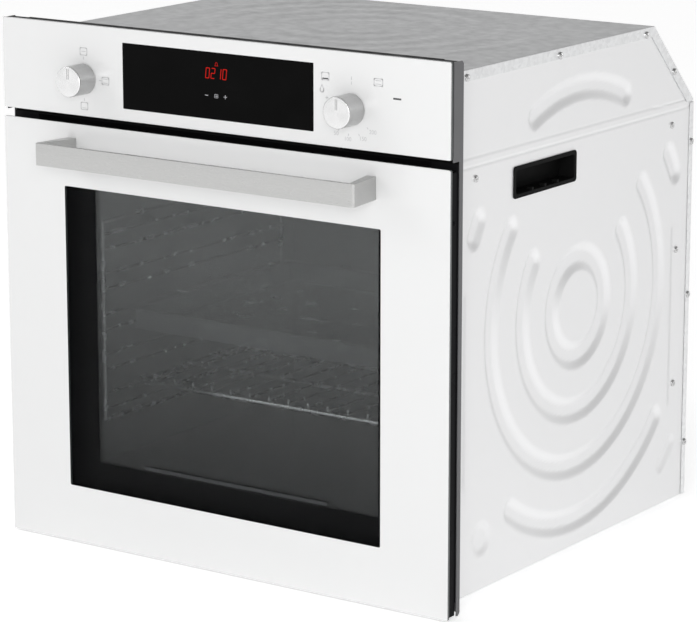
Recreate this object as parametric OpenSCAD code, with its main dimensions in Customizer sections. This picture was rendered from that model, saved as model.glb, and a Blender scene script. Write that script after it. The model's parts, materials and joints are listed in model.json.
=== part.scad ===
// Built-in wall oven with a drop-down glass door, two rotary controls and a digital timer.
// X runs to the right, Y from the front to the back and Z up.
// The origin is the middle of the footprint, on the surface that the base stands on.
// Inside the modules, Y is counted from the front face of the glass; placed() moves it to the origin.

/* [Front] */
// Width of the door and of the control panel
front_w = 595; // [590:1:598]
// Height of the front, from the support surface to the top of the panel
front_h = 595; // [593:1:598]
// Height of the control panel glass
panel_h = 101; // [99:1:102]
// Top of the door glass above the support surface
door_top = 484; // [482:1:485]
// Thickness of the outer glasses
glass_t = 4; // [3.5:0.5:4]
// How far the knobs stand out
knob_reach = 28; // [22:1:32]
// Diameter of the knobs
knob_d = 34; // [30:1:38]
// Distance from the middle to the left knob
knob_left_x = 181.5; // [178:0.5:184]
// Distance from the middle to the right knob
knob_right_x = 175; // [172:0.5:178]

/* [Handle] */
// How far the handle stands out
handle_reach = 50; // [44:1:56]
// Half of the handle's length
handle_half = 212; // [200:1:225]
// Height of the handle's bar
handle_h = 24.4; // [20:0.2:28]

/* [Body] */
// Width of the body behind the front frame
body_w = 554; // [552:1:556]
// Height of the top cover's upper face
body_top = 578; // [576:1:580]
// Distance from the glass to the back of the cable inlet
body_back = 550; // [549:1:552]
// Distance from the glass to the start of the sloping back
slope_start = 452; // [440:1:460]

/* [Cavity] */
// Inner width of the cavity
cavity_w = 472; // [470:1:474]
// Inner height of the cavity
cavity_h = 360; // [356:1:362]
// Height of the cavity floor
cavity_floor = 72; // [71:0.5:73]

/* [Hinge] */
// Distance from the glass to the hinge axis
hinge_y = 12; // [11.5:0.5:12]
// Height of the hinge axis
hinge_z = 9; // [9:0.5:9.5]
// Radius of the hinge pins
hinge_pin_r = 3; // [2.8:0.1:3.2]

/* [Hidden] */
$fn = 48;

front_x = front_w / 2;
body_x = body_w / 2;
depth_mid = (body_back - handle_reach) / 2;
sheet = 1;
enamel = 1.2;
gap = 0.3;

// Control panel
panel_z = front_h - panel_h;
knob_z = panel_z + 41.5;
knobs_x = [-knob_left_x, knob_right_x];
display_z = panel_z + 44;
shaft_r = 3;
running = 0.05;
bracket_y = 38;
switch_y = bracket_y + 1.2;
switch_d = 24;
switch_half = 21;

// Front frame: the rim stands behind the door and the face lies deeper, round the cavity mouth
rim_y = 17.2;
face_y = 40;
recess_x = 262;
frame_z0 = 18;
frame_z1 = 488;
seat_y = 24;
fixing_x = 287;
fixing_z = [110, 440];
fixing_r = 2.75;

// Cavity
cavity_x = cavity_w / 2;
cavity_top = cavity_floor + cavity_h;
cavity_y0 = face_y + enamel + 0.2;
cavity_y1 = 470;
fan_z = cavity_floor + cavity_h / 2;
baffle_y = 436;
baffle_half = 150;
fan_r = 78;
motor_shaft_r = 4;
motor_y = cavity_y1 + 26;
lamp_at = [196, 396];
grill_z = 416;
grill_legs = [-70, 70];
ring_r = 95;
ring_feet = [-8, 8];
heater_r = 3.5;
probe_y = 110;

// Side racks: five pairs of runners
rack_levels = [140, 186, 232.5, 280, 326];
pair_gap = 18;
runner_x = 219.5;
runner_r = 1.75;
rack_post_x = 223;
rack_y = [80, 425];
rack_z = [126, 358];

// Shelf on the lowest pair and tray on the third pair
shelf_y = [131, 428];
shelf_rail_r = 3;
shelf_x = 216.5;
shelf_z = rack_levels[0] + pair_gap + 4.2;
grid_pitch = 27;
tray_y = [108, 428];
tray_rim_z = rack_levels[2] + pair_gap + runner_r + gap;
tray_depth = 24;

// Body
side_y0 = seat_y + gap;
side_y1 = body_back - 3.3;
side_z0 = 8;
side_z1 = body_top - 2;
slope_drop = side_y1 - slope_start;
lip_h = 12;
rear_top = side_z1 - slope_drop - 2;
deck_z = 466;
mains_x = 220;
mains_z = 368;
harness_y = 530;
terminal_z = 436;
grip_y = [157, 281];
grip_z = [430, 459];
grip_depth = 20;
band_centre = [295, 284];
band_depth = 3;
strip_y = [60, 503];
strip_w = 21.5;
strip_z = [125, 337];
strip_rise = 1.2;

// Blower above the cavity
blower_y = 335;
blower_z = 532;
blower_r = 27;
rotor_half = 85;
duct_x = 150;
duct_z0 = frame_z1 + 0.4;
duct_h = 11.6;

// Door
door_z0 = 2;
door_back = 16.8;
step_x = 256;
inner_y = 28;
hinge_x = 266;
nose_t = 4;
cheek_t = 3.5;
rail_top = 480;
handle_z = 456;
handle_screw_x = handle_half - 12;

// ---------- helpers ----------

module placed() translate([0, -depth_mid, 0]) children();

module box(low, high) translate(low) cube(high - low);

// Cylinders that start at a point and run along +X, +Y or +Z
module xrod(p, r, len) translate(p) rotate([0, 90, 0]) cylinder(r = r, h = len);
module yrod(p, r, len) translate(p) rotate([-90, 0, 0]) cylinder(r = r, h = len);
module zrod(p, r, len) translate(p) cylinder(r = r, h = len);

module both_sides() {
    children();
    mirror([1, 0, 0]) children();
}

// Plate in the XZ plane, from y to y + t, drawn as a 2D shape of X and Z
module xz_plate(y, t) translate([0, y + t, 0]) rotate([90, 0, 0]) linear_extrude(height = t) children();

// Plate in the YZ plane, from x to x + t, drawn as a 2D shape of Y and Z
module yz_plate(x, t) translate([x, 0, 0]) rotate([90, 0, 90]) linear_extrude(height = t) children();

// Closed rectangular frame of round wire in the XZ plane
module wire_frame_xz(half_x, z0, z1, y, bend, r) {
    for (sx = [-1, 1], sz = [0, 1]) {
        cz = sz == 0 ? z0 + bend : z1 - bend;
        quarter = sx > 0 ? (sz == 1 ? 0 : 270) : (sz == 1 ? 90 : 180);
        translate([sx * (half_x - bend), y, cz])
            rotate([90, 0, 0])
                rotate([0, 0, quarter])
                    rotate_extrude(angle = 90) translate([bend, 0]) circle(r = r);
    }
    for (z = [z0, z1]) xrod([bend - half_x, y, z], r, 2 * (half_x - bend));
    for (sx = [-1, 1]) zrod([sx * half_x, y, z0 + bend], r, z1 - z0 - 2 * bend);
}

// Flat heating loop in the XY plane: two long legs joined by a straight front with round bends
module heater_loop(half_x, y0, y1, z, bend, r) {
    for (sx = [-1, 1]) {
        yrod([sx * half_x, y0 + bend, z], r, y1 - y0 - bend);
        translate([sx * (half_x - bend), y0 + bend, z])
            rotate([0, 0, sx > 0 ? 270 : 180])
                rotate_extrude(angle = 90) translate([bend, 0]) circle(r = r);
    }
    xrod([bend - half_x, y0, z], r, 2 * (half_x - bend));
}

// Straight tubes through a list of points, with balls at the corners
module tube_path(points, r) {
    for (i = [0 : len(points) - 2]) {
        run = points[i + 1] - points[i];
        length = norm(run);
        turn = [0, acos(run[2] / length), atan2(run[1], run[0])];
        translate(points[i]) rotate(turn) cylinder(r = r, h = length);
        if (i > 0) translate(points[i]) sphere(r = 1.2 * r);
    }
}

// ---------- casing ----------

// Pressed band of the side panel: a trapezoid groove turned about the X axis.
// Angles are counted from +Y towards +Z.
module band(r0, r1, a0, a1, grow, top) {
    slope = 4;
    low = -band_depth - (grow > 0 ? sheet : 0);
    translate([body_x, band_centre[0], band_centre[1]])
        rotate([0, 90, 0])
            rotate([0, 0, a0 + 90 - grow / 2])
                rotate_extrude(angle = min(360, a1 - a0 + grow))
                    polygon([[r0 - grow, top], [r1 + grow, top], [r1 + grow, min(0, top)],
                        [r1 - slope + grow / 2, low], [r0 + slope - grow / 2, low],
                        [r0 - grow, min(0, top)]]);
}

module bands(grow, top) {
    band(39, 73, 0, 360, grow, top);
    band(101, 134, -223, 45, grow, top);
    band(165, 197, -223, 45, grow, top);
    for (span = [[-128, -39], [-216, -204], [25, 39], [63, 117]])
        band(229, 261, span[0], span[1], grow, top);
}

module side_outline() {
    polygon([[side_y0, side_z0], [side_y1, side_z0], [side_y1, side_z1 - slope_drop],
        [slope_start, side_z1], [side_y0, side_z1]]);
}

function lip_screws() = [[60, 570], [246, 570], [434, 570], [500, 520]];
function rear_screws() = [[544, 433], [544, 251], [544, 72]];
function panel_screws() = [[80, 461], [499, 458], [513, 310], [513, 150]];

module side_holes(r) {
    for (p = concat(lip_screws(), rear_screws(), panel_screws()))
        xrod([body_x - 2 * sheet, p[0], p[1]], r, 5);
}

module side_panel_solid() {
    placed() difference() {
        union() {
            yz_plate(body_x - sheet, sheet) side_outline();
            bands(1.2, -0.5);
            // raised strips
            for (y = strip_y) box([body_x - 0.5, y, strip_z[0]],
                [body_x + strip_rise, y + strip_w, strip_z[1]]);
        }
        bands(0, 1);
        for (y = strip_y) box([body_x - 2 * sheet, y + sheet, strip_z[0] + sheet],
            [body_x + strip_rise - sheet, y + strip_w - sheet, strip_z[1] - sheet]);
        box([body_x - 9, grip_y[0], grip_z[0]], [body_x + 1, grip_y[1], grip_z[1]]);
        side_holes(1.9);
    }
}

module side_panel_right() color("gainsboro") side_panel_solid();
module side_panel_left() color("gainsboro") mirror([1, 0, 0]) side_panel_solid();

// Hand hold for carrying: a plastic cup set in the side panel
module carry_grip_solid() {
    wall = 1.5;
    rim = 3;
    placed() difference() {
        union() {
            box([body_x + gap, grip_y[0] - rim, grip_z[0] - rim],
                [body_x + gap + 1.2, grip_y[1] + rim, grip_z[1] + rim]);
            box([body_x - grip_depth, grip_y[0] + gap, grip_z[0] + gap],
                [body_x + gap + 0.5, grip_y[1] - gap, grip_z[1] - gap]);
        }
        box([body_x - grip_depth + wall, grip_y[0] + gap + wall, grip_z[0] + gap + wall],
            [body_x + 5, grip_y[1] - gap - wall, grip_z[1] - gap - wall]);
    }
}

module carry_grip_right() color("black") carry_grip_solid();
module carry_grip_left() color("black") mirror([1, 0, 0]) carry_grip_solid();

// Top cover: flat top and sloping back in one bent sheet, with lips over the side panels
module top_cover() {
    lip_x = body_x + gap;
    color("darkgray") placed() difference() {
        union() {
            translate([-lip_x - sheet, 0, 0]) yz_plate(0, 2 * (lip_x + sheet))
                polygon([[side_y0, body_top - sheet], [slope_start, body_top - sheet],
                    [side_y1, body_top - sheet - slope_drop], [side_y1, body_top - slope_drop],
                    [slope_start, body_top], [side_y0, body_top]]);
            for (x = [lip_x, -lip_x - sheet]) yz_plate(x, sheet)
                polygon([[side_y0, body_top - lip_h], [slope_start - 5, body_top - lip_h],
                    [side_y1 - 14, rear_top + 0.7], [side_y1, rear_top + 0.7],
                    [side_y1, body_top - slope_drop], [slope_start, body_top], [side_y0, body_top]]);
        }
        both_sides() side_holes(2);
    }
}

// Rear cover: flat sheet with side lips, louvres for the motor and an opening for the cable inlet
module rear_cover() {
    lip_x = body_x + gap;
    louvre_pitch = 14;
    color("silver") placed() difference() {
        union() {
            box([-lip_x - sheet, side_y1 + gap, side_z0], [lip_x + sheet, side_y1 + gap + sheet, rear_top]);
            both_sides()
                box([lip_x, side_y1 - 7, side_z0], [lip_x + sheet, side_y1 + gap + sheet, rear_top]);
        }
        both_sides() side_holes(2);
        for (i = [-4 : 4]) {
            z = fan_z + louvre_pitch * i;
            box([-60, side_y1 - 1, z - 2], [60, body_back, z + 2]);
        }
        yrod([mains_x, side_y1 - 1, mains_z], 10, 6);
    }
}

// Base sheet with two pressed skids that stand on the support surface
module base_plate() {
    skid_x = 240;
    skid_y = [70, 470];
    skid_w = 40;
    color("silver") placed() difference() {
        union() {
            box([gap + sheet - body_x, side_y0, side_z0],
                [body_x - sheet - gap, side_y1 - gap, side_z0 + sheet]);
            for (y = skid_y) box([-skid_x, y, 0], [skid_x, y + skid_w, side_z0 + sheet]);
        }
        for (y = skid_y) box([sheet - skid_x, y + sheet, sheet],
            [skid_x - sheet, y + skid_w - sheet, side_z0 + 5]);
        both_sides() box([hinge_x - 5, 0, 0], [hinge_x + 5, 61, 20]);
    }
}

// Deck between the insulated cavity and the electrical space
module deck_plate() {
    color("silver") placed() difference() {
        box([-body_x + 2, face_y + 3, deck_z], [body_x - 2, 540, deck_z + sheet]);
        zrod([knob_right_x, probe_y, deck_z - 1], 3, 4);
        zrod([mains_x, harness_y, deck_z - 1], 6, 4);
    }
}

// Enamelled front frame with a deep face round the cavity mouth
module front_frame() {
    rim_x = front_x - 1.5;
    color([0.04, 0.04, 0.04]) placed() difference() {
        union() {
            box([-rim_x, rim_y, frame_z0], [rim_x, rim_y + enamel, frame_z1]);
            box([-recess_x - enamel, rim_y, frame_z0], [recess_x + enamel, face_y + enamel, frame_z1]);
            // closing plates beside the mouth of the air duct
            both_sides() box([duct_x + gap, face_y, frame_z1 - 2],
                [body_x - 3, face_y + enamel, duct_z0 + duct_h + 0.2]);
        }
        box([-recess_x, 0, frame_z0 + enamel], [recess_x, face_y, frame_z1 - enamel]);
        box([-cavity_x, face_y - 1, cavity_floor], [cavity_x, face_y + 5, cavity_top]);
        for (x = [-fixing_x, fixing_x], z = fixing_z) yrod([x, rim_y - 1, z], fixing_r, 5);
    }
}

// Channel at each side of the front. Its back flange seats on the cabinet.
module side_trim_solid() {
    wall = 1.2;
    inner = body_x + 2;
    cut = 3;
    top = front_h - 0.6;
    placed() difference() {
        union() {
            // outer wall, deeper beside the control panel
            yz_plate(front_x - wall, wall)
                polygon([[17.5, 3], [seat_y - cut, 3], [seat_y, 3 + cut], [seat_y, top - cut],
                    [seat_y - cut, top], [6, top], [6, panel_z - 3], [17.5, panel_z - 3]]);
            box([inner, seat_y - wall, 6], [front_x, seat_y, front_h - 4]);
            box([inner, rim_y + enamel + gap, 22], [inner + wall, seat_y, frame_z1 - 1]);
        }
        for (z = fixing_z) yrod([fixing_x, seat_y - 4, z], fixing_r, 8);
    }
}

module side_trim_right() color("dimgray") side_trim_solid();
module side_trim_left() color("dimgray") mirror([1, 0, 0]) side_trim_solid();

// ---------- cavity ----------

// Enamelled liner: open box with a flange at its mouth
module cavity_liner() {
    flange = 14;
    t = enamel;
    color([0.16, 0.16, 0.17]) placed() difference() {
        union() {
            box([-cavity_x - t, cavity_y0, cavity_floor - t],
                [cavity_x + t, cavity_y1 + t, cavity_top + t]);
            box([-cavity_x - flange, cavity_y0, cavity_floor - flange],
                [cavity_x + flange, cavity_y0 + t, cavity_top + flange]);
        }
        box([-cavity_x, 0, cavity_floor], [cavity_x, cavity_y1, cavity_top]);
        yrod([0, cavity_y1 - 1, fan_z], 9, 6);
        for (x = ring_feet) yrod([x, cavity_y1 - 1, fan_z + ring_r], 5, 6);
        for (x = grill_legs) yrod([x, cavity_y1 - 1, grill_z], 4.5, 6);
        yrod([lamp_at[0], cavity_y1 - 1, lamp_at[1]], 18, 6);
        zrod([knob_right_x, probe_y, cavity_top - 1], 2.4, 6);
    }
}

// Glass wool round the cavity
module insulation_wrap() {
    color("khaki") placed() difference() {
        box([-256, 57, 46], [256, cavity_y1 - 2, 458]);
        box([-cavity_x - 2, 50, 58], [cavity_x + 2, cavity_y1, cavity_top + 2]);
        zrod([knob_right_x, probe_y, cavity_top], 3, 40);
    }
}

module insulation_rear() {
    color("khaki") placed() difference() {
        box([-240, cavity_y1 + 2, 58], [240, cavity_y1 + 22, 440]);
        yrod([0, cavity_y1, fan_z], 10, 30);
        for (x = ring_feet) yrod([x, cavity_y1, fan_z + ring_r], 6, 30);
        for (x = grill_legs) yrod([x, cavity_y1, grill_z], 6, 30);
        yrod([lamp_at[0], cavity_y1, lamp_at[1]], 24, 30);
    }
}

// Baffle over the fan, with a round intake grille and slots at its corners
module fan_baffle() {
    t = 1.2;
    color([0.2, 0.2, 0.21]) placed() difference() {
        box([-baffle_half, baffle_y, fan_z - baffle_half],
            [baffle_half, cavity_y1 - gap, fan_z + baffle_half]);
        box([t - baffle_half, baffle_y + t, fan_z - baffle_half + t],
            [baffle_half - t, cavity_y1 + 5, fan_z + baffle_half - t]);
        for (ring = [[18, 8], [32, 12], [46, 18]], i = [0 : ring[1] - 1]) {
            a = 360 * i / ring[1];
            yrod([ring[0] * cos(a), baffle_y - 2, fan_z + ring[0] * sin(a)], 4.5, 8);
        }
        for (sx = [-1, 1], i = [0 : 4]) {
            z = fan_z - 110 + 55 * i;
            box([sx * 122 - 16, baffle_y - 2, z - 3.5], [sx * 122 + 16, baffle_y + 4, z + 3.5]);
        }
    }
}

// Ring heater round the fan, with two terminals through the back wall
module ring_heater() {
    r = 4;
    y = 452;
    open = 9.7;
    foot_z = fan_z + ring_r - 0.3;
    color("dimgray") placed() union() {
        translate([0, y, fan_z]) rotate([90, 0, 0]) rotate([0, 0, 90 + open / 2])
            rotate_extrude(angle = 360 - open) translate([ring_r, 0]) circle(r = r);
        for (x = ring_feet) {
            translate([x, y, foot_z]) sphere(r = r);
            yrod([x, y, foot_z], r, 46);
        }
    }
}

// Shaded-pole motor behind the cavity
module fan_motor() {
    color("gray") placed() difference() {
        union() {
            box([-36, motor_y + 6, fan_z - 30], [36, motor_y + 26, fan_z + 38]);
            yrod([0, motor_y, fan_z], 24, 34);
        }
        yrod([0, motor_y - 1, fan_z], motor_shaft_r + running, 28);
    }
}

// Impeller with its own shaft
module convection_fan() {
    blades = 12;
    color("silver") placed() union() {
        yrod([0, 458, fan_z], fan_r, 1.2);
        yrod([0, 442, fan_z], 12, 17);
        yrod([0, 450, fan_z], motor_shaft_r, motor_y + 24 - 450);
        for (i = [0 : blades - 1]) translate([0, 0, fan_z]) rotate([0, 360 * i / blades, 0])
            box([38, 443, -0.7], [fan_r - 1, 458.5, 0.7]);
    }
}

// Grill heater under the cavity roof: two nested loops
module grill_element() {
    outer_x = 150;
    end_y = 440;
    color([0.25, 0.25, 0.25]) placed() union() {
        heater_loop(outer_x, 90, end_y, grill_z, 25, heater_r);
        heater_loop(grill_legs[1], 150, 500, grill_z, 25, heater_r);
        // the outer loop turns back towards the inner legs
        for (sx = [-1, 1]) {
            translate([sx * outer_x, end_y, grill_z]) sphere(r = heater_r);
            xrod([sx * 110 - 40, end_y, grill_z], heater_r, 80);
        }
    }
}

// Lower heater in the space under the cavity floor
module bottom_element() {
    z = 64.5;
    outer_x = 180;
    inner_x = 60;
    end_y = 440;
    color([0.25, 0.25, 0.25]) placed() union() {
        heater_loop(outer_x, 90, end_y, z, 40, heater_r);
        for (sx = [-1, 1]) {
            translate([sx * outer_x, end_y, z]) sphere(r = heater_r);
            xrod([sx * 120 - 60, end_y, z], heater_r, 120);
            translate([sx * inner_x, end_y, z]) sphere(r = heater_r);
            yrod([sx * inner_x, 300, z], heater_r, end_y - 300);
        }
    }
}

// Tubular gasket round the cavity mouth
module door_seal() {
    r = 3.7;
    color([0.1, 0.1, 0.1]) placed()
        wire_frame_xz(cavity_x + 9, cavity_floor - 8, cavity_top + 9, face_y - 0.1 - r, 22, r);
}

// Wire ladder with five pairs of runners and four wall studs
module side_rack_solid() {
    post_r = 2.5;
    placed() union() {
        for (y = rack_y) {
            zrod([rack_post_x, y, rack_z[0]], post_r, rack_z[1] - rack_z[0]);
            for (z = rack_z) translate([rack_post_x, y, z]) sphere(r = post_r);
            for (z = [rack_z[0] + 6, rack_z[1] - 6])
                xrod([rack_post_x, y, z], 3, cavity_x - gap - rack_post_x);
        }
        for (z = rack_z) yrod([rack_post_x, rack_y[0], z], post_r, rack_y[1] - rack_y[0]);
        for (level = rack_levels, dz = [0, pair_gap])
            yrod([runner_x, rack_y[0] - 1, level + dz], runner_r, rack_y[1] - rack_y[0] + 2);
    }
}

module side_rack_right() color("silver") side_rack_solid();
module side_rack_left() color("silver") mirror([1, 0, 0]) side_rack_solid();

module wire_shelf() {
    grid_z = shelf_z + 3.8;
    bars = floor((shelf_x - 20) / grid_pitch);
    color("silver") placed() union() {
        for (y = shelf_y) xrod([-shelf_x, y, shelf_z], shelf_rail_r, 2 * shelf_x);
        for (x = [-shelf_x, shelf_x]) {
            yrod([x, shelf_y[0], shelf_z], shelf_rail_r, shelf_y[1] - shelf_y[0]);
            for (y = shelf_y) translate([x, y, shelf_z]) sphere(r = shelf_rail_r);
        }
        for (i = [-bars : bars]) {
            yrod([i * grid_pitch, shelf_y[0], grid_z], 1.5, shelf_y[1] - shelf_y[0]);
            zrod([i * grid_pitch, shelf_y[0], grid_z], 1.5, 5);
        }
        for (y = [230, 330]) xrod([-shelf_x, y, shelf_z + 0.4], 2.4, 2 * shelf_x);
    }
}

module baking_tray() {
    t = 1.2;
    rim_x = 219.6;
    pan_x = 206;
    color([0.12, 0.12, 0.13]) placed() difference() {
        union() {
            box([-rim_x, tray_y[0], tray_rim_z], [rim_x, tray_y[1], tray_rim_z + t]);
            box([-pan_x, tray_y[0] + 8, tray_rim_z - tray_depth], [pan_x, tray_y[1] - 8, tray_rim_z + t]);
        }
        box([t - pan_x, tray_y[0] + 8 + t, tray_rim_z - tray_depth + t],
            [pan_x - t, tray_y[1] - 8 - t, tray_rim_z + 5]);
    }
}

// ---------- lamp ----------

module lamp_lens() {
    color([0.9, 0.95, 1, 0.5]) placed() difference() {
        translate([lamp_at[0], cavity_y1 - gap, lamp_at[1]]) rotate([90, 0, 0]) union() {
            cylinder(r = 22, h = 5);
            cylinder(r = 17, h = 18);
        }
        yrod([lamp_at[0], cavity_y1 - 16, lamp_at[1]], 15, 20);
    }
}

module lamp_bulb() {
    color("lightyellow") placed() union() {
        yrod([lamp_at[0], 462, lamp_at[1]], 9, 8);
        yrod([lamp_at[0], 469, lamp_at[1]], 6.5, 14);
        translate([lamp_at[0], 462, lamp_at[1]]) sphere(r = 7);
    }
}

module lamp_holder() {
    color("white") placed() difference() {
        yrod([lamp_at[0], cavity_y1 + 1.6, lamp_at[1]], 21, 34);
        yrod([lamp_at[0], cavity_y1, lamp_at[1]], 15, 22);
    }
}

// ---------- cooling ----------

// Flat duct that leads the cooling air to the slot between the door and the panel
module air_duct() {
    t = 1;
    color("silver") placed() difference() {
        box([-duct_x, rim_y + 1.6, duct_z0], [duct_x, blower_y - 40, duct_z0 + duct_h]);
        box([t - duct_x, 0, duct_z0 + t], [duct_x - t, blower_y + 1, duct_z0 + duct_h - t]);
    }
}

// Casing of the cross-flow blower, open to the duct at the front and to the room at the back
module blower_housing() {
    t = 1;
    half = rotor_half + 8;
    r = blower_r + 6;
    color("silver") placed() difference() {
        union() {
            xrod([-half, blower_y, blower_z], r, 2 * half);
            box([-half, blower_y - 39, duct_z0 - 6], [half, blower_y, blower_z]);
        }
        xrod([t - half, blower_y, blower_z], r - t, 2 * (half - t));
        box([t - half, blower_y - 50, duct_z0 - 6 + t], [half - t, blower_y, blower_z - 16]);
        box([t - half, blower_y + 8, blower_z - 12], [half - t, blower_y + 40, blower_z + 14]);
        xrod([-half - 5, blower_y, blower_z], shaft_r + running, 20);
        xrod([half - 15, blower_y, blower_z], shaft_r + running, 20);
    }
}

// Cross-flow rotor: three discs, blades all round and a shaft into the motor
module blower_rotor() {
    blades = 20;
    color("white") placed() translate([0, blower_y, blower_z]) union() {
        for (x = [-rotor_half, -0.75, rotor_half - 1.5]) xrod([x, 0, 0], blower_r, 1.5);
        xrod([-rotor_half - 14, 0, 0], shaft_r, 2 * rotor_half + 50);
        for (i = [0 : blades - 1]) rotate([360 * i / blades, 0, 0])
            box([-rotor_half, -0.6, blower_r - 8], [rotor_half, 0.6, blower_r - 0.5]);
    }
}

module blower_motor() {
    x = rotor_half + 12;
    color("gray") placed() difference() {
        union() {
            box([x, blower_y - 28, blower_z - 32], [x + 22, blower_y + 28, blower_z + 26]);
            xrod([x - 3, blower_y, blower_z], 12, 30);
        }
        xrod([x - 4, blower_y, blower_z], shaft_r + running, 28);
    }
}

// ---------- control panel ----------

module panel_glass() {
    color("white") placed() difference() {
        xz_plate(0, glass_t)
            translate([-front_x, panel_z]) square([front_w, panel_h]);
        for (x = knobs_x) yrod([x, -1, knob_z], 5, glass_t + 2);
    }
}

// Black plastic carrier behind the panel glass
module panel_carrier() {
    x = front_x - 1.6;
    y = glass_t + 0.2;
    back = seat_y - 1.6;
    t = 2;
    color([0.03, 0.03, 0.03]) placed() difference() {
        box([-x, y, panel_z + 7], [x, back, front_h - 1]);
        box([t - x, y + t, panel_z + 7 + t], [x - t, back + 1, front_h - 1 - t]);
        box([-62, 0, display_z - 22], [62, 10, display_z + 36]);
        for (knob = knobs_x) yrod([knob, 0, knob_z], 5, 10);
        // the side trims' back flanges
        both_sides() box([body_x - 2, back - 4, 0], [x + 1, back + 3, front_h + 1]);
    }
}

// Smoked window of the timer
module display_lens() {
    color([0.02, 0.02, 0.02]) placed()
        box([-60, glass_t + 0.2, display_z - 20], [60, glass_t + 2, display_z + 34]);
}

module timer_module() {
    color("darkgreen") placed() union() {
        box([-56, glass_t + 6, display_z - 18], [56, glass_t + 7.6, display_z + 32]);
        box([-30, glass_t + 2.3, display_z + 6], [30, glass_t + 6.1, display_z + 30]);
        box([-50, glass_t + 7.5, display_z - 14], [-22, 32, display_z + 14]);
        box([14, glass_t + 7.5, display_z - 14], [46, 26, display_z + 20]);
    }
}

// Steel bracket that carries the two rotary switches
module switch_bracket() {
    color("silver") placed() difference() {
        union() {
            box([-255, bracket_y, duct_z0 + duct_h + 0.4], [255, switch_y, body_top - sheet - gap]);
            box([-255, bracket_y, body_top - 3], [255, bracket_y + 14, body_top - sheet - gap]);
        }
        for (x = knobs_x) yrod([x, bracket_y - 1, knob_z], shaft_r + running, 5);
    }
}

module rotary_body(x) {
    half = switch_half;
    difference() {
        union() {
            box([x - half, switch_y, knob_z - half], [x + half, switch_y + switch_d, knob_z + half]);
            for (dz = [-12, 0, 12]) box([x - 12, switch_y + switch_d - 1, knob_z + dz - 3],
                [x - 11.2, switch_y + switch_d + 8, knob_z + dz + 3]);
        }
        yrod([x, switch_y - 1, knob_z], shaft_r + running, 16);
    }
}

module selector_switch() color("white") placed() rotary_body(-knob_left_x);
module thermostat() color("white") placed() rotary_body(knob_right_x);

// Shaft from the switch to the knob
module control_shaft(x) yrod([x, 10 - knob_reach, knob_z], shaft_r, switch_y + 14 + knob_reach - 10);

module selector_shaft() color("silver") placed() control_shaft(-knob_left_x);
module thermostat_shaft() color("silver") placed() control_shaft(knob_right_x);

// Capillary tube and sensing bulb of the thermostat
module thermostat_probe() {
    x = knob_right_x;
    y0 = switch_y + switch_d;
    y = probe_y;
    z = 424;
    color("peru") placed() union() {
        tube_path([[x, y0, knob_z], [x, y, knob_z], [x, y, z], [x, y + 6, z]], 1.2);
        yrod([x, y + 5, z], 3, 90);
    }
}

module knob_solid(x) {
    r = knob_d / 2;
    chamfer = 1.2;
    color("silver") placed() translate([x, 0, knob_z]) difference() {
        rotate([90, 0, 0]) rotate_extrude()
            polygon([[0, 0.5], [r - 0.6, 0.5], [r, 1.1], [r, knob_reach - chamfer],
                [r - chamfer, knob_reach], [0, knob_reach]]);
        yrod([0, 10 - knob_reach, 0], shaft_r, knob_reach);
        box([-0.8, -knob_reach - 1, 5], [0.8, 0.8 - knob_reach, r - 2]);
    }
}

module knob_left() knob_solid(-knob_left_x);
module knob_right() knob_solid(knob_right_x);

// ---------- mains connection ----------

module terminal_block() {
    color("ivory") placed() difference() {
        box([mains_x - 30, side_y1 - 32, terminal_z - 36], [mains_x + 30, side_y1 - 0.2, terminal_z]);
        for (i = [0 : 4]) yrod([mains_x - 22 + 11 * i, side_y1 - 33, terminal_z - 16], 3, 12);
    }
}

// Bush in the rear cover for the supply cable, which isn't part of the oven here
module cable_inlet() {
    flange_y = side_y1 + gap + sheet + 0.1;
    color([0.05, 0.05, 0.05]) placed() difference() {
        union() {
            yrod([mains_x, side_y1 - 3, mains_z], 9.8, 6);
            yrod([mains_x, flange_y, mains_z], 13, body_back - flange_y);
        }
        yrod([mains_x, side_y1 - 10, mains_z], 6.5, 20);
    }
}

// Bundle of wires clipped over the deck
module wire_harness() {
    z = 480;
    front_y = 54;
    end_x = 190;
    color("firebrick") placed() tube_path([
        [mains_x, harness_y, terminal_z + 0.2], [mains_x, harness_y, z], [mains_x, front_y, z],
        [end_x, front_y, z], [end_x, front_y, knob_z - switch_half - 0.2]], 3);
}

// ---------- hinges ----------

// Spring case on the body, with a nose that reaches forward to the hinge pin
module hinge_case_solid() {
    wall = 1.5;
    eye_r = 5;
    half = 8;
    case_y = [47, 130];
    case_z = [side_z0 + 2, 44];
    nose = hinge_x - nose_t / 2;
    placed() difference() {
        union() {
            xrod([nose, hinge_y, hinge_z], eye_r, nose_t);
            box([nose, hinge_y, hinge_z - 4], [nose + nose_t, 60, hinge_z + 4]);
            box([nose, 44, hinge_z + 1], [nose + nose_t, 60, 30]);
            box([hinge_x - half, case_y[0], case_z[0]], [hinge_x + half, case_y[1], case_z[1]]);
        }
        box([hinge_x - half + wall, case_y[0] + wall, case_z[0] + wall],
            [hinge_x + half - wall, case_y[1] - wall, case_z[1] - wall]);
        xrod([nose - 1, hinge_y, hinge_z], hinge_pin_r + running, nose_t + 2);
    }
}

module hinge_case_right() color("silver") hinge_case_solid();
module hinge_case_left() color("silver") mirror([1, 0, 0]) hinge_case_solid();

// Closing springs inside the cases, drawn as sleeves
module hinge_springs() {
    color("gray") placed() both_sides() difference() {
        yrod([hinge_x, 62, 30], 6, 60);
        yrod([hinge_x, 61, 30], 3.5, 62);
    }
}

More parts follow.
